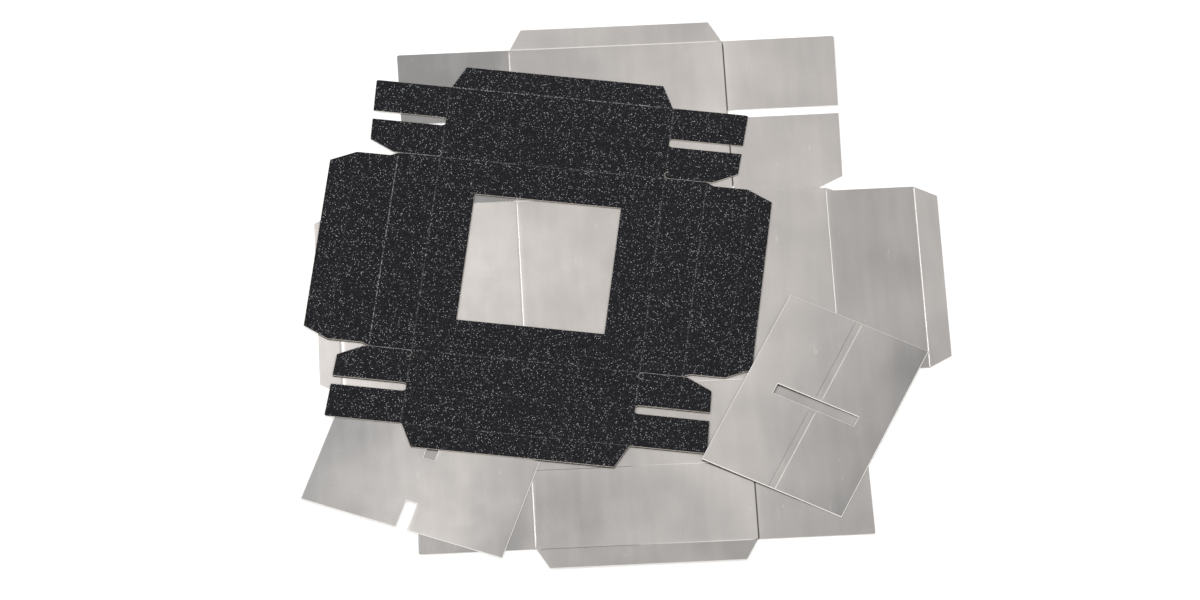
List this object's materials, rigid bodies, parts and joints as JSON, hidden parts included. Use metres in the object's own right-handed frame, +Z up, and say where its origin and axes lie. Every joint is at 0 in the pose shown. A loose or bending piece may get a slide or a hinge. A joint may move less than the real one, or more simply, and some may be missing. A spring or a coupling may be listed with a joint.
{
  "type": "window sweet box",
  "caption": "Square sweet box packed flat as die-cut card blanks: a silver tray, a black glitter lid with a square window, and a notched and a slotted divider.",
  "frame": {"origin": "underside of the base blank, at the middle of its square floor panel", "axes": "+Z up, out of the glitter and foil side of the sheets; +X to the right and +Y away from the viewer, along the sides of the base blank's floor panel"},
  "size_m": [0.3422, 0.33, 0.002],
  "materials": {
    "silver_board": "satin silver foil on white card",
    "glitter_board": "black card covered with fine silver glitter"
  },
  "bodies": {
    "root": {"base_blank": "silver_board", "notched_divider": "silver_board", "lid_blank": "glitter_board", "slotted_divider": "silver_board"}
  },
  "joints": []
}
